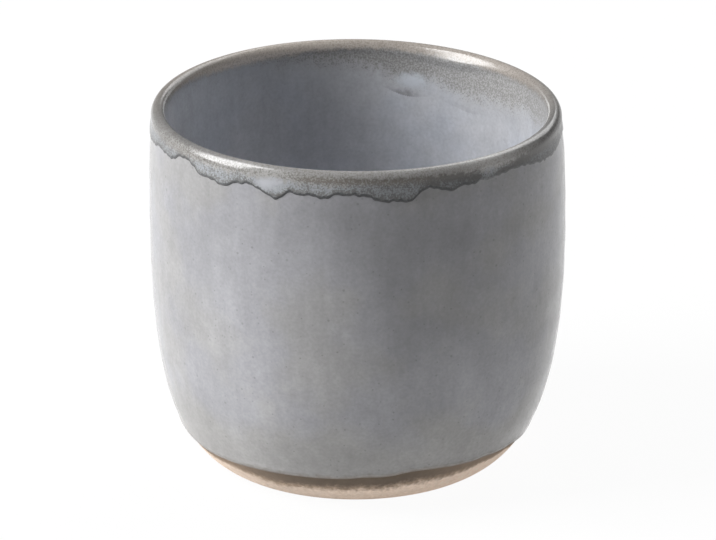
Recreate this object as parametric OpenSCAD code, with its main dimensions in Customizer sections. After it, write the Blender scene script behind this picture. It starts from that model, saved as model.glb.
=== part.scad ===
// Guinomi: a small, free-standing sake cup thrown in stoneware.
// The clay was thrown and turned, then glazed inside and outside down to a bare foot,
// and its rim was dipped a second time. Each coat is its own solid on the clay.
// Lengths are in millimetres. The origin is the centre of the foot, on the table, with +Z up.

/* [Cup] */
// Height from the table to the top of the lip
cup_h = 58; // [48:0.5:72]
// Widest diameter, over the glaze
belly_d = 66; // [60:0.5:84]
// Height of the widest place above the table
belly_h = 37; // [30:0.5:42]
// How far the coated lip is drawn in from the widest place, on each side
mouth_in = 0.9; // [-3:0.1:6]

/* [Foot] */
// Diameter of the face that the cup stands on
foot_d = 45; // [36:0.5:54]
// Width of the ring that the cup stands on
foot_ring_w = 3.6; // [2:0.1:8]
// Rounding where the ring turns up into the wall
foot_edge_r = 1.5; // [0.5:0.1:3]
// Angle at which the wall leaves the foot, above the table
foot_rise = 30; // [15:1:45]
// Depth of the turned recess inside the ring
recess_depth = 1.8; // [0.5:0.1:4]
// Width of the curved side of the recess
recess_side_w = 2.4; // [0.8:0.1:5]
// Height of the bare clay between the table and the glaze
bare_h = 6; // [2:0.1:9]

/* [Clay wall] */
// Thickness of the clay at the rounded lip
clay_lip_t = 1.3; // [0.8:0.1:2.4]
// Thickness of the clay at the widest place
wall_t = 3.2; // [2:0.1:5]
// Thickness of the clay floor above the recess
floor_t = 4.4; // [3:0.1:8]
// Radius of the flat middle of the floor inside
floor_flat_r = 13; // [6:0.5:20]
// Angle at which the outside leans in to the lip
lip_lean = 20; // [0:1:35]
// Angle at which the inside falls away from the lip
lip_flare = 12; // [0:1:25]

/* [Glaze] */
// Thickness of the glaze outside, on the wall
outer_glaze_t = 0.3; // [0.15:0.05:0.8]
// Thickness of the glaze inside, on the wall
inner_glaze_t = 0.3; // [0.15:0.05:0.8]
// Thickness of the glaze pooled on the floor inside
pool_t = 0.7; // [0.3:0.05:1.5]
// Thickness of the glaze where it has run thin over the lip
lip_glaze_t = 0.15; // [0.1:0.05:0.4]
// Height over which the glaze thins out towards the lip
thin_h = 8; // [4:0.5:14]
// Width of the rounded edge where the outer glaze stops above the foot
glaze_edge_w = 0.9; // [0.4:0.1:2]

/* [Rim coat] */
// Thickness of the second coat over the lip
rim_coat_t = 0.15; // [0.1:0.05:0.4]
// Thickness of the bead where the second coat has run and stopped
rim_bead_t = 0.3; // [0.15:0.05:0.6]
// Width of that bead
rim_bead_w = 1.2; // [0.6:0.1:2]
// Average drop of the second coat below the lip, outside
run_drop = 3.8; // [3.2:0.1:7]
// Average drop of the second coat below the lip, inside
inside_drop = 5.6; // [3.5:0.1:10]

/* [Hidden] */
$fn = 144;

// How far the outline's curves hold their direction, as shares of the height that they cross
foot_pull_share = 0.21;
belly_down_share = 0.55;
belly_up_share = 0.24;
lip_pull_share = 0.1;
inside_lip_pull_share = 0.2;
inside_belly_up_share = 0.4;
bowl_side_share = 0.8;
bowl_floor_share = 0.6;

// Number of steps on each stretch of the outline
foot_edge_steps = 4;
bare_steps = 4;
side_steps = 24;
shoulder_steps = 14;
lip_steps = 8;
inside_steps = 10;
bowl_steps = 20;
recess_steps = 8;
// Steps on the side crowd towards the glaze line by this power
crowding = 1.7;
// Halvings that find the glaze line on the curve of the side
halvings = 30;

// Second coat: facets around, how closely it seats on the glaze, and its section
rim_facets = 144;
coat_seat = 0.02;
bead_stop_shares = [0.1, 0.4, 1, 2];
seat_stop_shares = [0.25, 0.5, 0.75];

// Drop of the run line every 5 degrees round the rim, counter-clockwise from +X,
// as shares of run_drop. The front of the cup, towards -Y, is at 270 degrees.
run_drop_shares = [
    0.95, 0.85, 0.9, 1.05, 1.1, 0.95, 0.8, 0.85, 0.8, 0.95, 1.15, 1.1,
    0.9, 0.95, 1.2, 1.15, 1, 0.85, 0.9, 1.05, 0.95, 0.8, 0.8, 0.9,
    1.1, 1.2, 1, 0.9, 0.95, 0.85, 0.9, 1.05, 1.15, 0.95, 0.85, 0.9,
    0.95, 1.05, 1.1, 1.05, 0.9, 0.95, 0.9, 0.75, 0.85, 1.05, 1.15, 0.95,
    0.9, 1.15, 1.1, 1, 1.05, 0.9, 0.95, 1.1, 1.15, 1.2, 0.8, 0.95,
    0.9, 0.85, 0.85, 0.8, 0.8, 0.9, 1, 1.1, 1.15, 1.1, 1.05, 1
];
// The same inside the cup, every 10 degrees, as shares of inside_drop. The cup was tilted
// as it was dipped, so the coat reaches furthest down at the back right.
inside_drop_shares = [
    1.3, 1.45, 1.4, 1.55, 1.45, 1.5, 1.35, 1.3, 1.2, 1.1, 1, 0.85,
    0.75, 0.65, 0.7, 0.6, 0.65, 0.7, 0.8, 0.7, 0.8, 0.8, 0.75, 0.85,
    0.8, 0.75, 0.85, 0.85, 0.8, 0.9, 0.9, 0.85, 1, 1.1, 1.15, 1.3
];

// The lip is a half round of clay under its coats
lip_clay_r = clay_lip_t / 2;
lip_glazed_r = lip_clay_r + lip_glaze_t;
lip_coated_r = lip_glazed_r + rim_coat_t;
lip_centre = [belly_d / 2 - mouth_in - lip_coated_r, cup_h - lip_coated_r];

// Key places of the clay
belly_clay_r = belly_d / 2 - outer_glaze_t;
belly_inside_r = belly_clay_r - wall_t;
shoulder_h = cup_h - belly_h;
foot_r = foot_d / 2;
ring_inside_r = foot_r - foot_ring_w;
floor_z = recess_depth + floor_t;

// Point on a cubic curve through p[0] and p[3], steered by p[1] and p[2], at share t
function on_curve(p, t) =
    pow(1 - t, 3) * p[0] + 3 * pow(1 - t, 2) * t * p[1]
    + 3 * (1 - t) * t * t * p[2] + pow(t, 3) * p[3];

// Share at which a rising curve reaches height z, by halving
function share_at(p, z, low = 0, high = 1, left = halvings) =
    left == 0 ? low
    : let (middle = (low + high) / 2)
      on_curve(p, middle)[1] < z ? share_at(p, z, middle, high, left - 1)
      : share_at(p, z, low, middle, left - 1);

// Points of an arc about a centre [radius, height]
function arc(centre, r, from, to, steps) =
    [for (i = [0 : steps]) let (a = from + (to - from) * i / steps)
        centre + r * [cos(a), sin(a)]];

function rising(angle) = [cos(angle), sin(angle)];
function ease(t) = let (s = min(1, max(0, t))) s * s * (3 - 2 * s);

// Outside of the clay, from the foot up to the crest of the lip
foot_edge = arc([foot_r, foot_edge_r], foot_edge_r, -90, -90 + foot_rise, foot_edge_steps);
foot_top = foot_edge[foot_edge_steps];
side_curve = [
    foot_top,
    foot_top + foot_pull_share * belly_h * rising(foot_rise),
    [belly_clay_r, belly_h - belly_down_share * belly_h],
    [belly_clay_r, belly_h]
];
glaze_line_share = share_at(side_curve, bare_h);
bare_side = [for (i = [1 : bare_steps]) on_curve(side_curve, glaze_line_share * i / bare_steps)];
glazed_side = [for (i = [1 : side_steps])
    on_curve(side_curve, glaze_line_share + (1 - glaze_line_share) * pow(i / side_steps, crowding))];
lip_start = lip_centre + lip_clay_r * rising(lip_lean);
shoulder_curve = [
    [belly_clay_r, belly_h],
    [belly_clay_r, belly_h + belly_up_share * shoulder_h],
    lip_start - lip_pull_share * shoulder_h * rising(lip_lean + 90),
    lip_start
];
shoulder = [for (i = [1 : shoulder_steps]) on_curve(shoulder_curve, i / shoulder_steps)];
lip_outside = arc(lip_centre, lip_clay_r, lip_lean, 90, lip_steps);
outside_under_glaze = concat([bare_side[bare_steps - 1]], glazed_side, shoulder,
    [for (i = [1 : lip_steps]) lip_outside[i]]);

// Inside of the clay, from the crest of the lip down to the axis
lip_inside = arc(lip_centre, lip_clay_r, 90, 180 - lip_flare, lip_steps);
lip_end = lip_inside[lip_steps];
inside_wall_curve = [
    lip_end,
    lip_end + inside_lip_pull_share * shoulder_h * rising(270 - lip_flare),
    [belly_inside_r, belly_h + inside_belly_up_share * shoulder_h],
    [belly_inside_r, belly_h]
];
bowl_curve = [
    [belly_inside_r, belly_h],
    [belly_inside_r, belly_h - bowl_side_share * (belly_h - floor_z)],
    [floor_flat_r + bowl_floor_share * (belly_inside_r - floor_flat_r), floor_z],
    [floor_flat_r, floor_z]
];
inside = concat(lip_inside,
    [for (i = [1 : inside_steps]) on_curve(inside_wall_curve, i / inside_steps)],
    [for (i = [1 : bowl_steps]) on_curve(bowl_curve, i / bowl_steps)],
    [[0, floor_z]]);

// The turned recess under the cup, from the axis out to the ring
recess_curve = [
    [ring_inside_r - recess_side_w, recess_depth],
    [ring_inside_r - recess_side_w / 2, recess_depth],
    [ring_inside_r - recess_side_w / 2, 0],
    [ring_inside_r, 0]
];
recess = concat([[0, recess_depth]],
    [for (i = [0 : recess_steps]) on_curve(recess_curve, i / recess_steps)]);

// Unit vector to the right of the way that a line of points runs at point i
function side_of(points, i) =
    let (way = points[min(i + 1, len(points) - 1)] - points[max(i - 1, 0)],
        unit = way / norm(way))
    [unit[1], -unit[0]];

// Thickness of the glaze at height z, where it is wall_glaze_t thick below the lip
function thinned(wall_glaze_t, z) =
    lip_glaze_t + (wall_glaze_t - lip_glaze_t) * ease((lip_centre[1] - z) / thin_h);
// Rounded rise of an edge, at distance d from it
function rounded(d, w) = let (s = min(1, d / w)) sqrt(max(0, 1 - pow(1 - s, 2)));
function outside_t(z) = thinned(outer_glaze_t, z) * rounded(z - bare_h, glaze_edge_w);
// Inside, the glaze pools over the lowest stretch of the bowl
function inside_t(z) =
    thinned(inner_glaze_t, z) + (pool_t - inner_glaze_t) * ease(1 - (z - floor_z) / (2 * floor_t));

last_outside = len(outside_under_glaze) - 1;
outer_glaze_face = [for (i = [0 : last_outside]) let (p = outside_under_glaze[i])
    i == last_outside ? lip_centre + [0, lip_glazed_r]
    : p + outside_t(p[1]) * side_of(outside_under_glaze, i)];
last_inside = len(inside) - 1;
inner_glaze_face = [for (i = [0 : last_inside]) let (p = inside[i])
    i == 0 ? lip_centre + [0, lip_glazed_r]
    : i == last_inside ? p + [0, pool_t]
    : p + inside_t(p[1]) * side_of(inside, i)];

function backwards(points) = [for (i = [len(points) - 1 : -1 : 0]) points[i]];
// Radius of a glazed face at height z
function face_table(points) = [for (p = points) if (p[1] > cup_h / 2) [p[1], p[0]]];
outer_face_table = face_table(outer_glaze_face);
inner_face_table = face_table(backwards(inner_glaze_face));

// Thrown and turned clay: wall, floor and foot ring in one
module clay_body() {
    color([0.76, 0.68, 0.6])
        rotate_extrude()
            polygon(concat(recess, foot_edge, bare_side, glazed_side, shoulder,
                [for (i = [1 : lip_steps]) lip_outside[i]],
                [for (i = [1 : last_inside]) inside[i]]));
}

// Glaze poured inside, up to the crest of the lip
module inner_glaze() {
    color([0.7, 0.72, 0.76])
        rotate_extrude()
            polygon(concat(inside, backwards(inner_glaze_face)));
}

// Glaze outside, from the bare foot up to the crest of the lip
module outer_glaze() {
    color([0.62, 0.63, 0.65])
        rotate_extrude()
            polygon(concat(outside_under_glaze, backwards(outer_glaze_face)));
}

// Share at an angle round the rim, eased from each listed share to the next
function around(shares, angle) =
    let (n = len(shares), x = angle / 360 * n, i = floor(x), a = shares[i % n], b = shares[(i + 1) % n])
    a + (b - a) * ease(x - i);

// Thickness of the second coat at distance d above its lower edge
function coat_t(d) =
    rim_bead_t * rounded(d, rim_bead_w / 2)
    - (rim_bead_t - rim_coat_t) * ease((d - rim_bead_w / 2) / rim_bead_w);

// Section of the second coat at one angle, as a closed loop of [radius, height]:
// over the outer face, round the lip, down inside, and back along the glaze.
// A faceted ring is widened outside by 1 / cos(half a facet), so it never cuts the round glaze.
function coat_section(angle) =
    let (
        widening = 1 / cos(180 / rim_facets),
        out_z = cup_h - run_drop * around(run_drop_shares, angle),
        in_z = cup_h - inside_drop * around(inside_drop_shares, angle),
        out_top_z = lip_centre[1] + lip_glazed_r * sin(lip_lean),
        in_top_z = lip_centre[1] + lip_glazed_r * sin(lip_flare),
        out_r = function (z, t) widening * (lookup(z, outer_face_table) + coat_seat + t),
        in_r = function (z, t) lookup(z, inner_face_table) - coat_seat - t,
        outside_beads = [for (s = bead_stop_shares) let (d = s * rim_bead_w / 2)
            [out_r(out_z + d, coat_t(d)), out_z + d]],
        inside_beads = [for (s = bead_stop_shares) let (d = s * rim_bead_w / 2)
            [in_r(in_z + d, coat_t(d)), in_z + d]],
        over = arc(lip_centre, lip_coated_r, lip_lean, 180 - lip_flare, lip_steps),
        under = arc(lip_centre, lip_glazed_r + coat_seat, lip_lean, 180 - lip_flare, lip_steps),
        outside_seats = [for (s = seat_stop_shares) let (z = out_z + s * (out_top_z - out_z))
            [out_r(z, 0), z]],
        inside_seats = [for (s = seat_stop_shares) let (z = in_z + s * (in_top_z - in_z))
            [in_r(z, 0), z]]
    )
    concat(
        [[out_r(out_z, 0), out_z]], outside_beads, [for (p = over) widened(p, widening)],
        backwards(inside_beads), [[in_r(in_z, 0), in_z]],
        inside_seats, backwards([for (p = under) widened(p, widening)]), backwards(outside_seats));

// Only the outside half of the lip has to stand clear of a round face within it
function widened(p, widening) = p[0] > lip_centre[0] ? [p[0] * widening, p[1]] : p;

// Second coat over the lip, which has run down unevenly inside and outside
module rim_glaze() {
    sections = [for (i = [0 : rim_facets - 1]) coat_section(360 * i / rim_facets)];
    n = len(sections[0]);
    points = [for (i = [0 : rim_facets - 1]) for (p = sections[i]) let (a = 360 * i / rim_facets)
        [p[0] * cos(a), p[0] * sin(a), p[1]]];
    faces = [for (i = [0 : rim_facets - 1]) for (k = [0 : n - 1])
        let (here = i * n, next = (i + 1) % rim_facets * n, up = (k + 1) % n)
        each [[here + k, here + up, next + up], [here + k, next + up, next + k]]];
    color([0.45, 0.42, 0.4])
        polyhedron(points, faces);
}

clay_body();
inner_glaze();
outer_glaze();
rim_glaze();
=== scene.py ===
# %% [markdown]
# # A small glazed sake cup
# The cup is thrown in stoneware, glazed inside and outside down to a bare foot, and dipped again at the
# rim, where the second glaze has run down in an uneven line. This lesson builds its looks on a packed
# model that already fixes every size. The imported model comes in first, and nothing in it is moved.

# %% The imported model
import math

import bmesh
import bpy
import numpy as np
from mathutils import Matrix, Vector


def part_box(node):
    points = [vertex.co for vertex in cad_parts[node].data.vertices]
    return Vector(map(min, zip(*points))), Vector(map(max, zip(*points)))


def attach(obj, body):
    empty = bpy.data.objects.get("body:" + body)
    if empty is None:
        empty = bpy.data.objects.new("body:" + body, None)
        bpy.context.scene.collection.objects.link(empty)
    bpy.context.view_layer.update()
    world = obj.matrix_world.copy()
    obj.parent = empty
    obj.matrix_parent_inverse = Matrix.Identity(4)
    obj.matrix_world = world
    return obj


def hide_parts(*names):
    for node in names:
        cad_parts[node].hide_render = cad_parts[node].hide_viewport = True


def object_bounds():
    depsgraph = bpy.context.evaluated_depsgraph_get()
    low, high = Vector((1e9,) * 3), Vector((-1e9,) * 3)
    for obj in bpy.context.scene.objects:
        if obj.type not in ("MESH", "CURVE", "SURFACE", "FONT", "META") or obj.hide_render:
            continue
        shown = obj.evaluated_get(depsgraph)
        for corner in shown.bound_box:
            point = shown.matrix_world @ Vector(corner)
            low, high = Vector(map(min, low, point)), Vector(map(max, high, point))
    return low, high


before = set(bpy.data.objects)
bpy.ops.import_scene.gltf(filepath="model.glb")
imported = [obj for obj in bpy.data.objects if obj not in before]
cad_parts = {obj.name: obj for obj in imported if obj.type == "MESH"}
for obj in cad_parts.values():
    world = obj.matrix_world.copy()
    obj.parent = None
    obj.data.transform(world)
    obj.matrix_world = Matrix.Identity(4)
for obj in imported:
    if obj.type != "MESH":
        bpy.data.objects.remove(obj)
cad_low, cad_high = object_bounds()
print("pieces of the packed model:", ", ".join(sorted(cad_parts)))

# %% [markdown]
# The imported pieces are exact, but each curve is a chain of short straight bands, and a turned solid is
# perfectly round. A cup made by hand is neither. So each piece gets a finer surface of its own, worked
# out from the same curves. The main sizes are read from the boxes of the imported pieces. The sizes of
# the section, which no box gives, are written here as the model has them.

# %% Sizes
MM = 0.001
cup_h = cad_high.z
belly_r = cad_high.x
bare_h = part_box("outer_glaze")[0].z
floor_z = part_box("inner_glaze")[0].z
clay_belly_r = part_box("clay_body")[1].x
lip_clay_r = 0.65 * MM
lip_centre = np.array([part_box("inner_glaze")[1].x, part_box("clay_body")[1].z - lip_clay_r])
lip_glaze_t = 0.15 * MM
wall_glaze_t = 0.3 * MM
pool_t = 0.7 * MM
pool_h = 9 * MM
coat_t = 0.15 * MM
bead_w = 1.2 * MM
glaze_edge_w = 0.9 * MM
thin_h = 8 * MM
belly_h = 37 * MM
foot_r = 22.5 * MM
ring_w = 3.6 * MM
foot_edge_r = 1.5 * MM
foot_rise = math.radians(30)
recess_depth = 1.8 * MM
recess_side_w = 2.4 * MM
wall_t = 3.2 * MM
floor_flat_r = 13 * MM
lip_lean = math.radians(20)
lip_flare = math.radians(12)
# How far the outline's curves hold their direction, as shares of the length that they cross
foot_pull_share = 0.21
belly_down_share = 0.55
belly_up_share = 0.24
lip_pull_share = 0.1
inside_lip_pull_share = 0.2
inside_belly_up_share = 0.4
bowl_side_share = 0.8
bowl_floor_share = 0.6
print(f"cup {2 * belly_r / MM:.1f} mm across and {cup_h / MM:.1f} mm tall")
print(f"clay bare below {bare_h / MM:.1f} mm")

# %% [markdown]
# The outline is a line of radius against height, made of cubic curves and arcs. Each is drawn with many
# points and then read off at any length along the line, so that rows of the mesh can be crowded where
# the surface needs them.

# %% Lines
FINE = 400


def curve(p0, p1, p2, p3):
    """Cubic through p0 and p3, pulled by p1 and p2: the four points weighted by powers of t and 1 - t."""
    t = np.linspace(0, 1, FINE)[:, None]
    return (1 - t) ** 3 * p0 + 3 * (1 - t) ** 2 * t * p1 + 3 * (1 - t) * t**2 * p2 + t**3 * p3


def arc(centre, radius, start, end):
    """Points at one distance from a centre, at angles that go evenly from start to end."""
    a = np.linspace(start, end, FINE)[:, None]
    return centre + radius * np.hstack([np.cos(a), np.sin(a)])


def towards(angle):
    """Arrow one long at an angle: the cosine outwards and the sine upwards."""
    return np.array([math.cos(angle), math.sin(angle)])


def joined(*lines):
    """One line from several that meet end to end, with the doubled points taken out."""
    return np.vstack([lines[0]] + [line[1:] for line in lines[1:]])


def lengths(line):
    """Length of the line up to each of its points."""
    return np.concatenate([[0], np.cumsum(np.hypot(*np.diff(line, axis=0).T))])


def read_off(line, at):
    """Radius, height and outward normal of the line at the given lengths along it."""
    so_far = lengths(line)
    way = np.gradient(line, axis=0)
    way /= np.linalg.norm(way, axis=1)[:, None]
    columns = [line[:, 0], line[:, 1], way[:, 1], -way[:, 0]]
    return [np.interp(at, so_far, column) for column in columns]


# %% [markdown]
# The outside goes from a small round at the foot up a long curve to the belly, over the shoulder in a
# gentler one, and ends on the crest of a half round lip.

# %% Outline outside
shoulder_h = cup_h - belly_h
foot_top = np.array([foot_r, foot_edge_r]) + foot_edge_r * towards(foot_rise - math.pi / 2)
side = curve(
    foot_top,
    foot_top + foot_pull_share * belly_h * towards(foot_rise),
    np.array([clay_belly_r, belly_h - belly_down_share * belly_h]),
    np.array([clay_belly_r, belly_h]),
)
lip_start = lip_centre + lip_clay_r * towards(lip_lean)
shoulder = curve(
    np.array([clay_belly_r, belly_h]),
    np.array([clay_belly_r, belly_h + belly_up_share * shoulder_h]),
    lip_start - lip_pull_share * shoulder_h * towards(lip_lean + math.pi / 2),
    lip_start,
)
foot_edge = arc(np.array([foot_r, foot_edge_r]), foot_edge_r, -math.pi / 2, foot_rise - math.pi / 2)
outside = joined(foot_edge, side, shoulder, arc(lip_centre, lip_clay_r, lip_lean, math.pi / 2))
print(f"outline {lengths(outside)[-1] / MM:.1f} mm long outside")

# %% [markdown]
# The inside starts on the same crest and goes down a wall of even thickness into a round bowl, whose
# floor is flat in the middle.

# %% Outline inside
inner_r = clay_belly_r - wall_t
lip_inside = arc(lip_centre, lip_clay_r, math.pi / 2, math.pi - lip_flare)
inside_wall = curve(
    lip_inside[-1],
    lip_inside[-1] + inside_lip_pull_share * shoulder_h * towards(1.5 * math.pi - lip_flare),
    np.array([inner_r, belly_h + inside_belly_up_share * shoulder_h]),
    np.array([inner_r, belly_h]),
)
bowl = curve(
    np.array([inner_r, belly_h]),
    np.array([inner_r, belly_h - bowl_side_share * (belly_h - floor_z)]),
    np.array([floor_flat_r + bowl_floor_share * (inner_r - floor_flat_r), floor_z]),
    np.array([floor_flat_r, floor_z]),
)
inside = joined(lip_inside, inside_wall, bowl, np.array([[floor_flat_r, floor_z], [0, floor_z]]))
print(f"outline {lengths(inside)[-1] / MM:.1f} mm long inside")

# %% [markdown]
# Glaze is a coat on the clay, so its face is the clay's line moved out along the normal by the coat's
# thickness. It thins towards the lip, where it runs off, ends above the foot in a rounded edge, and
# pools on the floor inside.

# %% Thickness of the glaze


def ease(t):
    """Rises smoothly from 0 to 1: three times the square of t less twice its cube."""
    s = np.clip(t, 0, 1)
    return s * s * (3 - 2 * s)


def rounded(d, width):
    """Quarter circle from 0 at the edge to 1 at that width."""
    s = np.clip(d / width, 0, 1)
    return np.sqrt(1 - (1 - s) ** 2)


def thinned(height):
    """Thickness of a coat at a height: full on the wall, thin at the lip."""
    return lip_glaze_t + (wall_glaze_t - lip_glaze_t) * ease((lip_centre[1] - height) / thin_h)


def pooled(height):
    """The same inside, with the pool on the floor added."""
    return thinned(height) + (pool_t - wall_glaze_t) * ease(1 - (height - floor_z) / pool_h)


print(f"glaze {thinned(belly_h) / MM:.2f} mm on the belly, {pooled(floor_z) / MM:.2f} mm on the floor")

# %% [markdown]
# Nothing thrown by hand is quite round or upright. One function moves every point of every piece alike,
# so that the coats stay on the clay: the mouth is a little oval and three-cornered, the wall leans by a
# fraction of a millimetre, and the fingers have left faint rings. The foot stays flat.

# %% Hand-thrown shape
OVAL, OVAL_AT = 0.0071, math.radians(-36)
THREE, THREE_AT = 0.0059, math.radians(-24)
LEAN_FOOT, LEAN_BELLY, LEAN_LIP = -0.32 * MM, 0.395 * MM, -0.274 * MM
RING_H = 7 * MM
RING_DEPTH = 0.02 * MM
RING_START_SHARE = 0.25
# The share by which the whole cup is drawn in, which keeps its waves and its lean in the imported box
DRAWN_IN = 0.0035


def thrown(angle, radius, height):
    """Places of points, from polar to straight coordinates. The radius gains two waves and three waves
    round the cup, which grow with the square of height, and a spiral of shallow rings. The middle shifts
    along X by a curve of the second degree in height."""
    angle, radius, height = np.broadcast_arrays(angle, radius, height)
    s = height / cup_h
    waves = OVAL * np.cos(2 * (angle - OVAL_AT)) + THREE * np.cos(3 * (angle - THREE_AT))
    spiral = np.sin(2 * math.pi * height / RING_H + angle)
    rings = RING_DEPTH * spiral * ease(s / RING_START_SHARE) * ease(radius / inner_r)
    wide = radius * (1 + waves * s**2 - DRAWN_IN) + rings
    lean = LEAN_FOOT * (1 - s) ** 2 + LEAN_BELLY * 2 * s * (1 - s) + LEAN_LIP * s**2
    return np.stack([wide * np.cos(angle) + lean, wide * np.sin(angle), height], axis=-1)


print(f"mouth {4 * OVAL * lip_centre[0] / MM:.1f} mm wider one way than the other")

# %% [markdown]
# A turned piece is a grid: columns go round the cup, and rows follow its section. A ring section closes
# on itself, as the second coat's does. A section that starts or ends on the axis closes in a single point.
# The grid's faces are found by counting, with no loop over the points.

# %% Grids into meshes
AROUND = 480
POLE_GAP = 1e-7


def grid_faces(columns, rows, ring):
    """Four-sided faces between neighbouring rows and columns. The last column meets the first, and in a
    ring the last row meets the first."""
    c = np.arange(columns)[:, None]
    r = np.arange(rows if ring else rows - 1)[None, :]
    next_c, next_r = (c + 1) % columns, (r + 1) % rows
    corners = [c * rows + r, next_c * rows + r, next_c * rows + next_r, c * rows + next_r]
    return np.stack(corners, axis=-1).reshape(-1, 4)


def merge_poles(mesh):
    """Joins the points that lie on the axis, which leaves a fan of triangles round each pole."""
    bm = bmesh.new()
    bm.from_mesh(mesh)
    bmesh.ops.remove_doubles(bm, verts=bm.verts, dist=POLE_GAP)
    bm.to_mesh(mesh)
    bm.free()


def piece(name, places, ring, values):
    """A mesh object from a grid of places [column, row, xyz], with the named numbers of its points. Where
    the section isn't a ring, its first and last rows lie on the axis and are merged to one point each."""
    grid = places.shape[:2]
    mesh = bpy.data.meshes.new(name)
    mesh.from_pydata(places.reshape(-1, 3), [], grid_faces(*grid, ring).tolist())
    for label, value in values.items():
        layer = mesh.attributes.new(label, "FLOAT", "POINT")
        layer.data.foreach_set("value", np.broadcast_to(value, grid).astype(np.float32).ravel())
    if not ring:
        merge_poles(mesh)
    mesh.shade_smooth()
    made = bpy.data.objects.new(name, mesh)
    bpy.context.scene.collection.objects.link(made)
    print(f"{name}: {len(mesh.polygons)} faces")
    return made


angles = np.linspace(0, 2 * math.pi, AROUND, endpoint=False)[:, None]
print(f"{AROUND} columns, {2 * math.pi * belly_r / AROUND / MM:.2f} mm apart at the belly")

# %% [markdown]
# The edge of the outer glaze above the foot isn't a ruled line. The potter wiped it back by hand, furthest
# up just right of the front. A pair of numbers for each bend of it is enough: an angle, counted in degrees
# from +X so that the front is 270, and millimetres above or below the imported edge.

# %% Lines that wander round the cup
FOOT_EDGE = [
    (0, 0.1), (14, -0.2), (30, 0.1), (45, -0.3), (60, -0.1), (78, 0.25), (95, 0), (110, -0.35),
    (126, -0.1), (140, 0.15), (155, -0.2), (170, -0.5), (185, -0.3), (200, -0.7), (214, -1.0),
    (225, -0.8), (236, -0.5), (243, -0.35), (252, -0.2), (262, -0.1), (267, 0.0), (272, 0.3),
    (278, 0.25), (282, 0.4), (285, 0.7), (289, 0.85), (296, 0.65), (301, 0.4), (306, 0.25), (311, 0.1),
    (315, 0.15), (319, -0.1), (325, -0.3), (329, -0.3), (334, -0.7), (342, -1.2), (350, -0.8),
]


def wander(bends, angle):
    """Number at an angle, on a smooth line through the listed bends. Between two bends it is a cubic whose
    slope at each bend is the slope from the bend before it to the bend after it."""
    at, level = np.array(sorted(bends), float).T
    at = np.concatenate([at[-2:] - 360, at, at[:2] + 360])
    level = np.concatenate([level[-2:], level, level[:2]])
    slope = np.zeros_like(level)
    slope[1:-1] = (level[2:] - level[:-2]) / (at[2:] - at[:-2])
    turn = np.degrees(angle) % 360
    k = np.clip(np.searchsorted(at, turn, side="right") - 1, 1, len(at) - 3)
    gap = at[k + 1] - at[k]
    t = (turn - at[k]) / gap
    start = (2 * t**3 - 3 * t**2 + 1) * level[k] + (t**3 - 2 * t**2 + t) * gap * slope[k]
    return start + (3 * t**2 - 2 * t**3) * level[k + 1] + (t**3 - t**2) * gap * slope[k + 1]


edge_height = bare_h + wander(FOOT_EDGE, angles) * MM
print(f"glaze edge from {edge_height.min() / MM:.2f} to {edge_height.max() / MM:.2f} mm above the table")

# %% [markdown]
# Some marks are soft clouds with no edge. Each is a bell curve in two directions, and a short list of them
# says where the fire and the dipping have left a paler or darker place. The grid's points carry the sum as
# a number, which the finish reads later.

# %% Soft marks


def marks(places, angle, height):
    """Sum of soft ovals: a strength times e to the power of minus the squares of the turn from the middle
    and of the height from the middle, each in half widths. A mark's own angles are in degrees, and its
    heights are in mm."""
    total = np.zeros(np.broadcast(angle, height).shape)
    for at, level, half_turn, half_height, strength in places:
        turn = (np.degrees(angle) - at + 180) % 360 - 180
        total += strength * np.exp(-((turn / half_turn) ** 2) - ((height / MM - level) / half_height) ** 2)
    return total


# %% [markdown]
# The clay is one body of revolution: the turned recess, the foot ring, the side, the lip and the bowl.
# Rows are close together where the clay is bare. Under the glaze they are wide apart, and they crowd
# towards the lip, where the section bends most. The turner's tool has left fine rings in the recess,
# which are cut into the surface.

# %% Section of the clay
TOOL_MARK = 0.03 * MM
TOOL_PITCH = 0.9 * MM
RECESS_ROWS = 70
RECESS_SIDE_ROWS = 16
RING_ROWS = 10
BARE_ROWS = 36
HIDDEN_ROWS = 38
BOWL_ROWS = 40
CROWDED = 1.5
UNDER_EDGE = 1 * MM
ring_inside_r = foot_r - ring_w
recess_r = ring_inside_r - recess_side_w
recess_side = curve(
    np.array([recess_r, recess_depth]),
    np.array([ring_inside_r - recess_side_w / 2, recess_depth]),
    np.array([ring_inside_r - recess_side_w / 2, 0]),
    np.array([ring_inside_r, 0]),
)


def spaced(line, count):
    """Lengths along a line, evenly spaced."""
    return np.linspace(0, lengths(line)[-1], count)


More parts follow.
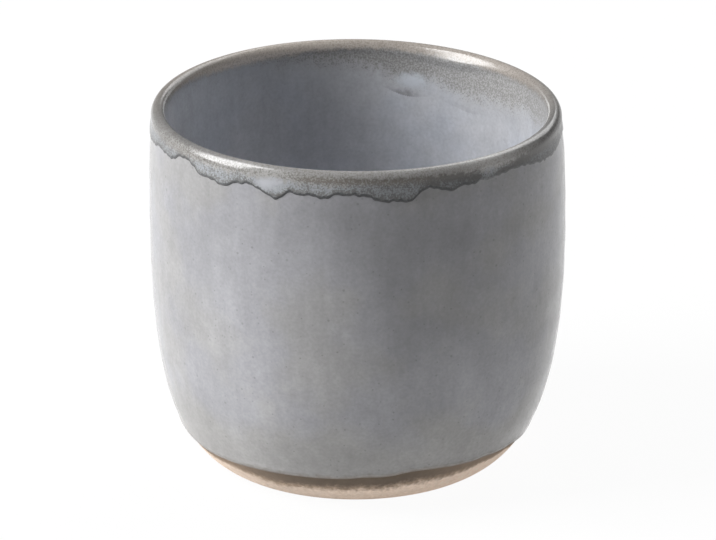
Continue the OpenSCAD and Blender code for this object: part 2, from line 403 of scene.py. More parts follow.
def clay_section():
    """Radius and height of the clay's section, from the middle of the recess out, up and in again. Rows
    under the glaze lie back from the crest by even shares to a power, and the tool marks are a sine."""
    flat = np.array([[0, recess_depth], [recess_r, recess_depth]])
    ring = np.array([[ring_inside_r, 0], [foot_r, 0]])
    so_far = lengths(outside)
    glaze_line = np.interp(bare_h, outside[:, 1], so_far)
    bare_rows = np.linspace(0, glaze_line + UNDER_EDGE, BARE_ROWS)
    hidden_length = so_far[-1] - glaze_line - 2 * UNDER_EDGE
    hidden_rows = so_far[-1] - hidden_length * np.linspace(1, 0, HIDDEN_ROWS) ** CROWDED
    bowl_rows = lengths(inside)[-1] * np.linspace(0, 1, BOWL_ROWS)[1:] ** CROWDED
    parts = [
        read_off(flat, spaced(flat, RECESS_ROWS))[:2],
        read_off(recess_side, spaced(recess_side, RECESS_SIDE_ROWS)[1:])[:2],
        read_off(ring, spaced(ring, RING_ROWS)[1:-1])[:2],
        read_off(outside, np.concatenate([bare_rows, hidden_rows]))[:2],
        read_off(inside, bowl_rows)[:2],
    ]
    radius = np.concatenate([part[0] for part in parts])
    height = np.concatenate([part[1] for part in parts])
    in_recess = (height == recess_depth) & (radius > 0)
    return radius, height + TOOL_MARK * np.sin(2 * math.pi * radius / TOOL_PITCH) * in_recess


clay_r, clay_z = clay_section()
print(f"{len(clay_r)} rows in the clay's section")

# %% [markdown]
# Fire colours the bare clay by its place. One number measures how far a point lies below the glaze, in
# widths of the toasted band there. A second says how dark the band has burnt. A third is painted light and
# shade: it makes the clay paler on the right and darker at the front left.

# %% Clay
TOAST_W = [
    (0, 1.4), (60, 2.0), (120, 1.7), (180, 1.2), (222, 1.2), (233, 1.95), (246, 2.85), (256, 2.5),
    (262, 2.6), (271, 2.75), (282, 2.9), (288, 2.9), (298, 2.5), (308, 1.9), (316, 1.4), (330, 0.9),
]
BURN = [
    (0, 0.4), (60, 0.9), (120, 0.7), (180, 0.8), (224, 0.6), (238, 0.78), (250, 0.95), (262, 1),
    (284, 1), (298, 0.8), (312, 0.55), (330, 0.5),
]
# Painted light and shade on the clay: paler on the right, darker at the front left.
CLAY_PAINTED_LIGHT = [
    (0, 0.8), (40, 0.4), (120, 0.3), (200, 0.0), (235, -0.6), (252, -0.4), (264, 0), (275, 0.4),
    (290, 0.9), (310, 1.2), (330, 1.2), (345, 1.1),
]
clay_values = {
    "toast": (edge_height - clay_z[None, :]) / MM / wander(TOAST_W, angles),
    "burn": np.clip(wander(BURN, angles), 0, 1),
    "painted_light_on_clay": wander(CLAY_PAINTED_LIGHT, angles),
}
clay = piece("thrown_clay", thrown(angles, clay_r[None, :], clay_z[None, :]), False, clay_values)

# %% [markdown]
# Each glaze coat is a shell with a face and an underside. The underside lies on the clay with few rows,
# and the face has many. Outside, the rows start at the wandering edge of each column, where the glaze
# has drawn up into a low swelling.

# %% Shape of the wall glaze
FACE_ROWS = 130
UNDER_ROWS = 50
FACE_CROWDED = 1.25
EDGE_SWELL_SHARE = 0.35
EDGE_SWELL_AT = 0.9 * MM
EDGE_SWELL_HALF = 0.6 * MM


def outer_coat():
    """Radius and height of a shell over the outside line, and each point's length above the edge in mm.
    Face rows go from the edge to the crest and underside rows back again. The thickness starts as a
    quarter circle and gains a bell curve just above the edge."""
    so_far = lengths(outside)
    start = np.interp(edge_height, outside[:, 1], so_far)
    share = np.linspace(0, 1, FACE_ROWS)[None, :] ** FACE_CROWDED
    at = start + share * (so_far[-1] - start)
    radius, height, out_r, out_z = read_off(outside, at)
    d = at - start
    swollen = 1 + EDGE_SWELL_SHARE * np.exp(-(((d - EDGE_SWELL_AT) / EDGE_SWELL_HALF) ** 2))
    thick = thinned(height) * rounded(d, glaze_edge_w) * swollen
    back = start + np.linspace(1, 0, UNDER_ROWS)[None, 1:-1] * (so_far[-1] - start)
    under_r, under_z = read_off(outside, back)[:2]
    full_r = np.hstack([radius + thick * out_r, under_r])
    full_z = np.hstack([height + thick * out_z, under_z])
    return full_r, full_z, np.hstack([d, back - start]) / MM


outer_r, outer_z, above_foot = outer_coat()

# %% [markdown]
# The wall's clouds come from two lists of soft marks: places that lean to blue, and places that are
# darker, or paler where the strength is below zero. The second list is partly the glaze's own clouds and
# partly painted shade and light.

# %% Wall glaze on the cup
BLUE_CLOUDS = [
    (252, 43, 6, 5, 0.8), (272, 43.5, 5, 2.5, 0.7), (236, 33, 9, 8, 0.35), (316, 14, 10, 6, 0.5),
    (300, 47, 8, 3, 0.4), (20, 38, 12, 7, 0.7), (62, 24, 10, 8, 0.6), (105, 45, 14, 5, 0.8),
    (150, 30, 10, 9, 0.6), (188, 42, 9, 5, 0.5),
]
# Partly the glaze's own clouds, partly painted shade and light on the wall.
CLOUDS_AND_PAINTED_SHADE = [
    (267, 49, 7, 5, 0.15), (282, 47, 9, 8, 0.17), (299, 47, 13, 7, 0.2), (317, 48, 8, 7, 0.15),
    (252, 50, 4, 3, 0.1), (284, 35, 12, 8, 0.13), (306, 33, 18, 9, 0.19), (243, 44, 5, 5, -0.07),
    (243, 23, 9, 7, -0.08), (316, 11, 9, 5, -0.09), (344, 8, 12, 5, -0.25), (289, 17, 9, 6, 0.12),
    (262, 10, 14, 3, 0.08), (212, 44, 8, 8, 0.05), (277.5, 41.5, 5, 5.5, 0.17), (282, 28, 6, 5, 0.16),
    (289, 31, 6, 5, 0.06), (298.5, 40, 4, 6, 0.07), (241, 23, 5, 6.5, -0.14), (250.5, 40.5, 5, 4, -0.13),
    (216, 20, 8, 4, -0.12), (241, 34.5, 4.5, 6, -0.08), (227, 43, 4, 4, 0.08), (265, 51.5, 9, 2.5, 0.09),
    (290, 54, 5, 1.2, 0.12), (244, 17.5, 6, 3, -0.09), (264, 22, 5, 3, -0.08), (325, 8, 8, 2.5, -0.15),
    (243, 47, 4, 2, -0.07), (30, 44, 16, 8, 0.1), (75, 30, 14, 10, -0.06), (118, 46, 12, 7, 0.09),
    (160, 22, 16, 9, 0.07),
]
outer_values = {
    "above_foot": above_foot,
    "blue": marks(BLUE_CLOUDS, angles, outer_z),
    "clouds_and_painted_shade": marks(CLOUDS_AND_PAINTED_SHADE, angles, outer_z),
}
glaze_outside = piece("glaze_outside", thrown(angles, outer_r, outer_z), True, outer_values)

# %% [markdown]
# The liner's rows start in the middle of the clay's floor, go up under the coat to the crest, and come
# back down its face to the middle of the pool.

# %% Liner glaze on the cup


def inner_coat():
    """Radius and height of a shell over the inside line: underside rows up the clay, over the crest, and
    face rows down to the pole on the pool."""
    under_r, under_z = read_off(inside, spaced(inside, UNDER_ROWS)[::-1])[:2]
    radius, height, out_r, out_z = read_off(inside, spaced(inside, FACE_ROWS))
    thick = pooled(height)
    face_r = radius + thick * out_r
    face_r[-1] = 0
    return np.concatenate([under_r, face_r]), np.concatenate([under_z, height + thick * out_z])


liner_r, liner_z = inner_coat()
glaze_inside = piece("glaze_inside", thrown(angles, liner_r[None, :], liner_z[None, :]), False, {})

# %% [markdown]
# The second coat is the cup's most telling feature. It covers the lip, runs down outside to a dark,
# uneven line, and fades out inside, furthest down at the back right, because the cup was tilted when it
# was dipped. Two lists say how far below the crest's height it stops at each angle, in millimetres.

# %% Where the second coat stops
RUN_OUTSIDE = [
    (8, 3.3), (15, 4.2), (22, 3.5), (31, 3.1), (40, 3.9), (47, 4.4), (54, 3.6), (62, 3.3), (70, 4.5),
    (77, 4.0), (86, 3.2), (95, 3.9), (104, 3.1), (113, 3.3), (120, 4.3), (126, 4.5), (134, 3.6),
    (142, 3.2), (150, 3.6), (158, 4.4), (166, 3.4), (174, 3.3), (181, 3.8), (188, 4.2), (195, 3.9),
    (200, 3.4), (204, 3.6), (210, 3.5), (212, 2.7), (214.5, 2.5), (217, 2.6), (219.5, 3.0), (221.5, 3.8),
    (223.5, 4.05), (225.5, 3.9), (230, 4.4), (232.5, 4.3), (234.5, 3.7), (238.5, 3.3), (241, 3.45),
    (245, 4.3), (247, 4.9), (248.5, 4.7), (250.5, 4.0), (252, 3.5), (253.5, 3.85), (256, 3.75),
    (258.5, 3.9), (262, 4.1), (264, 3.55), (266, 3.45), (272, 3.65), (274, 3.8), (275, 4.3),
    (278.5, 4.6), (281, 4.6), (283.5, 4.8), (285, 4.65), (287.5, 3.7), (289.5, 2.95), (292, 3.2),
    (295, 3.7), (298, 3.8), (300, 3.35), (303.5, 3.5), (306, 3.2), (309.5, 3.3), (315, 3.0), (320, 3.0),
    (325, 3.4), (330, 3.9), (338, 4.3), (345, 3.9), (352, 3.5), (360, 3.9),
]
RUN_INSIDE = [
    (4, 7.5), (14, 8.6), (22, 8.0), (32, 9.0), (42, 9.2), (50, 9.8), (58, 9.2), (64, 8.3), (70, 8.8),
    (76, 8.6), (83, 7.2), (92, 6.2), (102, 5.8), (112, 4.9), (122, 4.2), (132, 3.6), (142, 3.9),
    (152, 3.4), (165, 3.8), (178, 4.4), (190, 4.0), (205, 4.6), (220, 4.2), (235, 4.9), (250, 4.3),
    (265, 4.8), (280, 4.4), (295, 5.2), (310, 5.0), (325, 6.0), (340, 6.6), (352, 7.2),
]
RIPPLES = [(61, 0.05, 0.4), (97, 0.05, 2.0), (139, 0.04, 4.4), (173, 0.03, 1.1)]
COAT_AROUND = 960


def rippled(angle):
    """Small waves of the run line in mm: a sum of sines, each with its count round the cup, its height
    and its place."""
    return sum(high * np.sin(count * angle + place) for count, high, place in RIPPLES)


coat_angles = np.linspace(0, 2 * math.pi, COAT_AROUND, endpoint=False)[:, None]
drop_outside = wander(RUN_OUTSIDE, coat_angles) + rippled(coat_angles)
drop_inside = wander(RUN_INSIDE, coat_angles)
print(f"coat ends {drop_outside.min():.1f} to {drop_outside.max():.1f} mm below the crest outside")
print(f"coat ends {drop_inside.min():.1f} to {drop_inside.max():.1f} mm below the crest inside")

# %% [markdown]
# At its stop outside the coat has gathered in a low round bead. Inside it has soaked away to nothing.
# Beside the crest, on both slopes of the lip, it stays a little fuller, most of all at the front left
# outside and at the back right inside, where the light catches it.

# %% Thickness of the second coat
SUNK = 0.02 * MM
BEAD_HIGH = 0.19 * MM
FADE_W = 3 * MM
OVER_W = 1 * MM
# Height, place and half width of the swelling beside the crest, and what fullness adds to each, in mm
LIP_SWELL, LIP_SWELL_AT, LIP_SWELL_HALF = 0.11, 1.5, 0.6
FULLER_HIGH, FULLER_DOWN, FULLER_HALF = 0.25, 0.5, 0.25
ALL_DOWN = 99
FULL_OUTSIDE = [(236, 0, 30, ALL_DOWN, 0.4)]
FULL_INSIDE = [(59, 0, 15, ALL_DOWN, 1.4)]
bead_front_w = bead_w / 3


def bead(d):
    """Thickness at a distance from a stop: a low round bead, which eases down to the plain coat."""
    return BEAD_HIGH * rounded(d, bead_front_w) - (BEAD_HIGH - coat_t) * ease((d - bead_front_w) / bead_w)


def faded(d):
    """Thickness inside the cup, where the coat has soaked away to nothing over its last stretch."""
    return SUNK + (coat_t - SUNK) * ease(d / FADE_W)


def swell(down, fuller):
    """Extra thickness beside the crest, at a distance down from it: a bell curve, which is higher, wider
    and further down where the coat is fuller."""
    from_middle = down / MM - LIP_SWELL_AT - FULLER_DOWN * fuller
    bell = np.exp(-((from_middle / (LIP_SWELL_HALF + FULLER_HALF * fuller)) ** 2))
    return (LIP_SWELL + FULLER_HIGH * fuller) * MM * bell


# %% [markdown]
# The coat's section is different at every angle, so the whole grid is worked out at once: each column
# goes from its own stop outside, over the lip, to its own stop inside, and back on the underside. The
# underside and the edge of the bead are sunk a little into the glazes below, and the face inside comes
# down level with the liner, so that no gap shows.

# %% Shape of the second coat
COAT_FACE_ROWS = 84
COAT_UNDER_ROWS = 18


def glazed_line():
    """The glazed surface that the second coat lies on: up the outside, over the crest, down the inside."""
    out_r, out_z, n_r, n_z = read_off(outside, lengths(outside))
    in_r, in_z, m_r, m_z = read_off(inside, lengths(inside))
    out_t, in_t = thinned(out_z), pooled(in_z)
    left = np.stack([out_r + out_t * n_r, out_z + out_t * n_z], axis=1)
    right = np.stack([in_r + in_t * m_r, in_z + in_t * m_z], axis=1)
    return joined(left, right), lengths(left)[-1]


def second_coat():
    """Grid of the second coat, and three lengths at its points: down the outside from the crest, from the
    stop outside, and from the stop inside. A column's rows are crowded at both stops by a cosine. The
    thickness changes from the bead to the faded coat within a millimetre round the crest."""
    line, crest = glazed_line()
    so_far = lengths(line)
    up, down = so_far <= crest, so_far >= crest
    start = np.interp(cup_h - drop_outside * MM, line[up, 1], so_far[up])
    end = np.interp(cup_h - drop_inside * MM, line[down, 1][::-1], so_far[down][::-1])
    share = (1 - np.cos(np.linspace(0, math.pi, COAT_FACE_ROWS)))[None, :] / 2
    at = start + share * (end - start)
    radius, height, out_r, out_z = read_off(line, at)
    from_start, from_end = at - start, end - at
    over = ease((at - crest) / OVER_W + 0.5)
    thick = bead(from_start) * (1 - over) + faded(from_end) * over - SUNK
    thick = thick + swell(crest - at, marks(FULL_OUTSIDE, coat_angles, 0)) * ease(from_start / MM)
    thick = thick + swell(at - crest, marks(FULL_INSIDE, coat_angles, 0))
    back = end + np.linspace(0, 1, COAT_UNDER_ROWS)[None, 1:-1] * (start - end)
    under_r, under_z, under_out_r, under_out_z = read_off(line, back)
    full_r = np.hstack([radius + thick * out_r, under_r - SUNK * under_out_r])
    full_z = np.hstack([height + thick * out_z, under_z - SUNK * under_out_z])
    way_down = np.hstack([crest - at, crest - back])
    above_stop = np.hstack([from_start, back - start])
    above_inner_stop = np.hstack([from_end, end - back])
    return thrown(coat_angles, full_r, full_z), way_down, above_stop, above_inner_stop


coat_places, way_down, above_stop, above_inner_stop = second_coat()
print(f"coat up to {above_stop.max() / MM:.1f} mm wide over the lip, from stop to stop")

# %% [markdown]
# The dip has left pale and dark clouds in the coat, a brown band just below the crest, and a line that is
# stronger in some places than in others. The first number of a mark is its angle, and the second is how
# far it lies below the crest, which is less than zero inside the cup.

# %% Clouds and line of the second coat
PALE_CLOUDS = [
    (245, 2.9, 3.6, 1.2, 0.8), (250, 2.3, 3, 0.7, 0.4), (309, 1.9, 3.0, 1.1, 0.42),
    (20, 2.2, 6, 1.0, 0.7), (72, -6.4, 6, 1.5, 0.9), (78, 2.4, 5, 1.2, 0.8), (118, 2.0, 6, 0.9, 0.6),
    (160, 2.6, 5, 1.2, 0.8), (186, 1.8, 5, 0.8, 0.5),
]
DARK_CLOUDS = [
    (292, 2.2, 4, 0.8, 0.6), (299, 2.1, 4.5, 0.9, 1.0), (304.5, 2.8, 2, 0.6, 0.9),
    (314, 2.9, 3, 0.45, 0.9), (321, 2.4, 5, 0.7, 1.0), (331, 2.2, 6, 0.8, 1.0), (342, 2.0, 7, 0.9, 1.0),
    (249, 4.5, 2.5, 0.5, 0.8), (282, 2.4, 6, 1.0, 0.4), (352, 2.2, 6, 0.9, 0.8), (8, 2.0, 7, 0.7, 0.7),
    (45, 1.8, 8, 0.6, 0.7), (96, 2.2, 7, 0.6, 0.8), (140, 1.9, 6, 0.7, 0.7), (175, 2.4, 6, 0.8, 0.6),
    (205, 2.2, 6, 0.8, 0.5), (236, 3.0, 4, 0.8, 0.4),
]
BROWN = [
    (15, 0.5), (40, 0.8), (62, 0.4), (95, 0.7), (130, 0.5), (160, 0.8), (185, 0.3), (210, 0.5),
    (225, 0.4), (240, 0.25), (252, 0.3), (258, 0.9), (290, 0.9), (299, 0.8), (306, 0.4), (320, 0.3),
    (345, 0.5),
]
BROWN_DOWN, BROWN_HALF = 1.7, 0.7
COAT_TONE = [
    (0, 0.56), (14, 0.8), (30, 1.0), (60, 1.1), (90, 1.0), (130, 0.95), (160, 0.85), (180, 0.68),
    (200, 0.82), (216, 1.08), (232, 1.12), (245, 1.12), (255, 1.1), (264, 1.06), (275, 0.82),
    (288, 0.82), (296, 0.74), (303, 0.76), (309, 1.0), (315, 1.0), (325, 0.72), (338, 0.46), (350, 0.42),
]
LINE_STRENGTH = [
    (0, 0.7), (40, 1), (90, 0.8), (130, 1), (180, 0.7), (200, 0.75), (226, 0.8), (240, 0.9), (303, 0.9),
    (307, 0.25), (312, 0.6), (330, 0.55), (345, 0.5),
]
INNER_LINE_AT = [(75, 0, 5, ALL_DOWN, 0.9), (52, 0, 7, ALL_DOWN, 0.2)]
brown_band = np.exp(-(((way_down / MM - BROWN_DOWN) / BROWN_HALF) ** 2))
coat_values = {
    "from_stop": above_stop / MM,
    "from_inner_stop": above_inner_stop / MM,
    "from_crest": way_down / MM,
    "pale": marks(PALE_CLOUDS, coat_angles, way_down),
    "dark": marks(DARK_CLOUDS, coat_angles, way_down),
    "brown": np.clip(wander(BROWN, coat_angles), 0, 1) * brown_band,
    "line": np.clip(wander(LINE_STRENGTH, coat_angles), 0, 1),
    "coat_tone": wander(COAT_TONE, coat_angles),
    "inner_line": marks(INNER_LINE_AT, coat_angles, way_down),
}
print(f"{len(PALE_CLOUDS)} pale clouds and {len(DARK_CLOUDS)} dark ones")

# %% [markdown]
# On the crest the coat is thinnest and burns pale. Lists say how light it is at each angle, which is
# partly its own tone and partly painted light and shade, how far down outside the pale band reaches, where
# it is wider inside, and where a painted highlight, a fine white line, follows the lip's inner edge. A
# last one paints light on the coat inside on the right.

# %% Crest of the second coat
# Partly the coat's own tone, partly painted light and shade.
CREST_TONE_AND_PAINTED_LIGHT = [
    (0, 0.7), (20, 0.95), (40, 1.2), (60, 1.28), (80, 1.25), (104, 1.42), (122, 1.4), (142, 1.1),
    (158, 0.9), (170, 0.74), (195, 0.66), (225, 0.78), (245, 0.98), (262, 1.12), (280, 1.22),
    (300, 1.45), (318, 1.4), (331, 0.85), (341, 0.55), (352, 0.55),
]
CREST_DOWN = [
    (0, 0.9), (18, 1.2), (40, 1.6), (66, 1.3), (90, 0.9), (200, 0.6), (258, 0.75), (270, 1.0),
    (282, 1.2), (296, 1.35), (307, 1.6), (322, 1.4), (338, 0.8),
]
# Painted light and shade on the crest, with a painted highlight at the front left.
CREST_PAINTED_LIGHT = [
    (128, -1.7, 26, 1.0, 1.1), (108, -1.2, 16, 0.8, 0.4), (48, -1.0, 20, 0.9, 0.2),
    (308, 1.0, 8, 0.9, 0.6), (239, 0.7, 5, 0.9, 0.4), (214, 0.6, 6, 1.0, -0.2),
]
# Painted light on the coat inside: lighter at the right and back right, a little darker at the back.
INNER_PAINTED_LIGHT = [
    (0, 0.2), (20, 0.28), (45, 0.3), (60, 0.2), (72, 0.0), (88, -0.1), (110, 0.0), (200, 0.0),
    (320, 0.0), (345, 0.1),
]
CREST_WIDE = [(126, 0, 24, ALL_DOWN, 0.9), (40, 0, 25, ALL_DOWN, 0.4)]
# Painted highlight: where a fine white line follows the lip's inner edge.
LIP_HIGHLIGHT_PLACES = [
    (182, 0, 22, ALL_DOWN, 1.0), (352, 0, 16, ALL_DOWN, 0.8), (325, 0, 14, ALL_DOWN, 0.4),
]
coat_values |= {
    "crest_tone_and_painted_light": wander(CREST_TONE_AND_PAINTED_LIGHT, coat_angles) + marks(CREST_PAINTED_LIGHT, coat_angles, way_down),
    "past_crest": way_down / MM - wander(CREST_DOWN, coat_angles),
    "crest_wide": marks(CREST_WIDE, coat_angles, way_down),
    "painted_lip_highlight": marks(LIP_HIGHLIGHT_PLACES, coat_angles, way_down),
    "painted_light_inside": wander(INNER_PAINTED_LIGHT, coat_angles),
}
rim_coat = piece("second_coat", coat_places, True, coat_values)

# %% [markdown]
# Each new piece stands for one imported piece, which is hidden.

# %% Pieces on the imported model
for made, node, slot in [
    (clay, "clay_body", "clay"),
    (glaze_inside, "inner_glaze", "liner_glaze"),
    (glaze_outside, "outer_glaze", "wall_glaze"),
    (rim_coat, "rim_glaze", "rim_glaze"),
]:
    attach(made, "root")
    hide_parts(node)
    print(f"{made.name} stands for {node}")

# %% [markdown]
# A glaze isn't one colour. It holds clouds a centimetre across, mottles of a millimetre, a grain that is
# finer still, and specks of iron. The finishes are built from small helpers. The first ones start a
# material, and add a node with all its inputs.

# %% Helpers for the finishes


def finish(name, **settings):
    """A new material with its Principled shader, whose plain sockets are set here."""
    material = bpy.data.materials.new(name)
    material.use_nodes = True
    shader = material.node_tree.nodes["Principled BSDF"]
    for socket, value in settings.items():
        shader.inputs[socket.replace("_", " ")].default_value = value
    return material, material.node_tree, shader


def dress(made, material):
    """Gives a piece its finish."""
    made.data.materials.append(material)
    print(f"{material.name}: {len(material.node_tree.nodes)} nodes")


def join(tree, value, socket):
    """Links a value that is another node's output, or sets it as the socket's own."""
    if isinstance(value, bpy.types.NodeSocket):
        tree.links.new(value, socket)
    else:
        socket.default_value = value


def add(tree, kind, inputs=(), **settings):
    """A node with its settings, and its inputs by name or number as values or as links."""
    node = tree.nodes.new(kind)
    for key, value in settings.items():
        setattr(node, key, value)
    for key, value in dict(inputs).items():
        join(tree, value, node.inputs[key])
    return node


# %% [markdown]
# Next come sums, and noise whose level is spread over the range that is asked for.

# %% Helpers for numbers and noise
# Noise mostly stays within this range, and what leaves it is cut off
NOISE_LOW, NOISE_HIGH = 0.3, 0.7


def calc(tree, operation, *values):
    """A sum on numbers or links."""
    return add(tree, "ShaderNodeMath", dict(enumerate(values)), operation=operation).outputs[0]


def plus(tree, *values):
    """The sum of numbers or links, by one node for each value after the first."""
    total = values[0]
    for value in values[1:]:
        total = calc(tree, "ADD", total, value)
    return total


def times(tree, *values):
    """The product of numbers or links, by one node for each value after the first."""
    total = values[0]
    for value in values[1:]:
        total = calc(tree, "MULTIPLY", total, value)
    return total


def noise(tree, where, size, detail=2.0, roughness=0.5):
    """Noise whose lumps are about that size in metres."""
    inputs = {"Vector": where, "Scale": 1 / size, "Detail": detail, "Roughness": roughness}
    return add(tree, "ShaderNodeTexNoise", inputs).outputs["Fac"]


def swing(tree, value, low, high, start=0.0, end=1.0, smooth=True):
    """The value's range from low to high made to go from start to end."""
    kind = "SMOOTHSTEP" if smooth else "LINEAR"
    inputs = {"Value": value, "From Min": low, "From Max": high, "To Min": start, "To Max": end}
    return add(tree, "ShaderNodeMapRange", inputs, interpolation_type=kind).outputs["Result"]


def fray(tree, where, size, reach, detail=3.0, roughness=0.5):
    """A number that wanders between minus and plus the reach, in lumps of that size."""
    lumps = noise(tree, where, size, detail, roughness)
    return swing(tree, lumps, NOISE_LOW, NOISE_HIGH, -reach, reach, smooth=False)


def bump(tree, shader, waves, height):
    """Waves of that height in the shader's surface."""
    skin = add(tree, "ShaderNodeBump", {"Strength": 1.0, "Distance": height, "Height": waves})
    tree.links.new(skin.outputs[0], shader.inputs["Normal"])


# %% [markdown]
# Colours are laid over one another by a share, or multiplied by a grey. A piece's points give their own
# place, their height, and the numbers that were stored on them above.

# %% Helpers for colours and places


def blend(tree, share, under, over, kind="MIX"):
    """Two colours, the second laid over the first by a share. The mix node keeps its colours in its
    seventh and eighth inputs and its third output."""
    node = add(tree, "ShaderNodeMix", {0: share, 6: under, 7: over}, data_type="RGBA", blend_type=kind)
    return node.outputs[2]


def shaded(tree, colour, shade):
    """A colour times a number."""
    grey = add(tree, "ShaderNodeCombineColor", {"Red": shade, "Green": shade, "Blue": shade}).outputs[0]
    return blend(tree, 1.0, colour, grey, "MULTIPLY")


def paint(red, green, blue):
    """A colour as the eye names it, 0 to 255, made linear for the shader."""
    share = np.array([red, green, blue]) / 255
    linear = np.where(share <= 0.04045, share / 12.92, ((share + 0.055) / 1.055) ** 2.4)
    return (*linear.tolist(), 1.0)


def placed(tree):
    """A point's own place in metres, which a pattern follows."""
    return add(tree, "ShaderNodeTexCoord").outputs["Object"]


def height_of(tree, where):
    """A point's height in metres."""
    return add(tree, "ShaderNodeSeparateXYZ", {"Vector": where}).outputs["Z"]


def value_of(tree, label):
    """The number of that name which the piece's points carry."""
    return add(tree, "ShaderNodeAttribute", attribute_name=label).outputs["Fac"]


# %% [markdown]
# Iron in the clay bleeds through the glaze as dots. Cells of a Voronoi pattern give each dot its middle,
# and the cell's own random colour says whether it has one and how dark it is. Grain that is finer than a
# dot is noise, cut off at a level.

# %% Specks and mottles


def specks(tree, where, cell, radius, keep):
    """Round specks of about that radius: the share of the cells named by keep has one. A speck is full
    within three tenths of its radius, and the cells with the lowest chance have the darkest."""
    cells = add(tree, "ShaderNodeTexVoronoi", {"Vector": where, "Scale": 1 / cell, "Randomness": 1.0})
    dot = swing(tree, cells.outputs["Distance"], radius / cell * 0.3, radius / cell, 1.0, 0.0)
    chance = add(tree, "ShaderNodeSeparateColor", {"Color": cells.outputs["Color"]}).outputs[0]
    return times(tree, dot, swing(tree, chance, keep * 0.4, keep, 1.0, 0.0))


def mottle(tree, where, size, depth, detail=2.0):
    """A factor that wanders round 1 by about that depth, in lumps of that size."""
    lumps = noise(tree, where, size, detail)
    return swing(tree, lumps, NOISE_LOW, NOISE_HIGH, 1 - depth, 1 + depth, smooth=False)


def drift(tree, where):
    """Columns where the glaze has drifted down: noise drawn out ten times in height."""
    long = add(tree, "ShaderNodeMapping", {"Vector": where, "Scale": (1, 1, 0.1)}).outputs[0]
    return mottle(tree, long, 1.6 * MM, depth=0.035)


def speckle(tree, where, density):
    """Share of dark grain at a density from 0, almost none, to 1, nearly closed."""
    grain = noise(tree, where, 0.27 * MM, detail=2.0, roughness=0.62)
    return swing(tree, plus(tree, grain, times(tree, density, 0.33)), 0.54, 0.82)


def glaze_colour(tree, where, warm, cool, cloud=0.0, dotted=1.0):
    """The clouded colour that both base glazes share, with its mottles, drift and specks. A cloud turns it
    from warm to cool, and dotted says how much the specks show."""
    patch = plus(tree, swing(tree, noise(tree, where, 12 * MM, detail=3.0), 0.35, 0.65), cloud)
    colour = blend(tree, add(tree, "ShaderNodeClamp", {"Value": patch}).outputs[0], warm, cool)
    shade = times(
        tree,
        mottle(tree, where, 7 * MM, depth=0.065, detail=3.0),
        mottle(tree, where, 1.8 * MM, depth=0.045),
        mottle(tree, where, 0.5 * MM, depth=0.06),
        drift(tree, where),
    )
    small_dots = specks(tree, where, cell=1.1 * MM, radius=0.2 * MM, keep=0.6)
    large_dots = specks(tree, where, cell=2.3 * MM, radius=0.3 * MM, keep=0.6)
    dots = plus(tree, small_dots, large_dots)
    shade = times(tree, shade, swing(tree, dots, 0.0, 1.0, 1.0, 1 - 0.25 * dotted, smooth=False))
    return shaded(tree, colour, shade)


def satin(tree, shader, where, smooth=0.12, rough=0.24, dulled=0.0):
    """The skin of a glaze: waves 0.03 mm high, and a gloss that varies between two levels. Where it is
    dulled, from 0 to 1, it has hardly any."""
    gloss = swing(tree, noise(tree, where, 2.5 * MM), NOISE_LOW, NOISE_HIGH, smooth, rough)
    gloss = plus(tree, gloss, times(tree, dulled, 0.4))
    tree.links.new(gloss, shader.inputs["Roughness"])
    bump(tree, shader, noise(tree, where, 3.0 * MM, detail=3.0), height=0.03 * MM)


# %% [markdown]
# The wall's glaze is a mid grey with bluish clouds, which give way to a warmer grey near the foot. It is
# a little darker near the rim, and it has a dark, dull fringe where it ends on the toasted clay.

# %% Wall glaze
WARM_GREY = paint(152, 151, 150)
COOL_GREY = paint(151, 151, 155)
FRINGE = paint(112, 101, 91)
RIMWARD = 0.92

wall, tree, shader = finish("wall glaze", IOR=1.5)
where = placed(tree)
warmer_low = swing(tree, height_of(tree, where), 9 * MM, 18 * MM, -1.0, 0.25)
cloud = plus(tree, value_of(tree, "blue"), warmer_low)
colour = glaze_colour(tree, where, WARM_GREY, COOL_GREY, cloud)
rimward = swing(tree, height_of(tree, where), 0.5 * cup_h, 0.9 * cup_h, 1.0, RIMWARD)
colour = shaded(tree, colour, rimward)
# Painted shade and light, together with the glaze's own clouds: the second list of marks darkens or
# lightens the wall.
colour = shaded(tree, colour, plus(tree, 1.0, times(tree, value_of(tree, "clouds_and_painted_shade"), -1.0)))
ragged = fray(tree, where, 1.2 * MM, reach=0.3)
edge = plus(tree, value_of(tree, "above_foot"), ragged)
colour = blend(tree, swing(tree, edge, 0.0, 1.5, 0.85, 0.0), colour, FRINGE)
tree.links.new(colour, shader.inputs["Base Color"])
satin(tree, shader, where, dulled=swing(tree, value_of(tree, "above_foot"), 0.3, 1.2, 1.0, 0.0))
dress(glaze_outside, wall)

# %% [markdown]
# Inside, the glaze is paler and bluer, and its specks hardly show. Towards the floor of the cup its colour
# is lighter still, which is painted light deep in the cup.

# %% Liner glaze
WARM_LINER = paint(172, 173, 177)
COOL_LINER = paint(170, 173, 180)
# Painted light: how much lighter the liner is painted deep in the cup.
LINER_PAINTED_LIGHT = 1.27


def liner_colour(tree, where):
    """The liner's clouded colour, with painted light that makes it lighter towards the floor."""
    colour = glaze_colour(tree, where, WARM_LINER, COOL_LINER, dotted=0.4)
    return shaded(tree, colour, swing(tree, height_of(tree, where), 24 * MM, 50 * MM, LINER_PAINTED_LIGHT, 1.0))


liner, tree, shader = finish("liner glaze", IOR=1.5)
where = placed(tree)
tree.links.new(liner_colour(tree, where), shader.inputs["Base Color"])
satin(tree, shader, where)
dress(glaze_inside, liner)

# %% [markdown]
# The second coat's finish is the richest, so it is built in four steps. First come the numbers that its
# points carry, and two noises that fray every border: one in lumps of a millimetre, and a finer one.

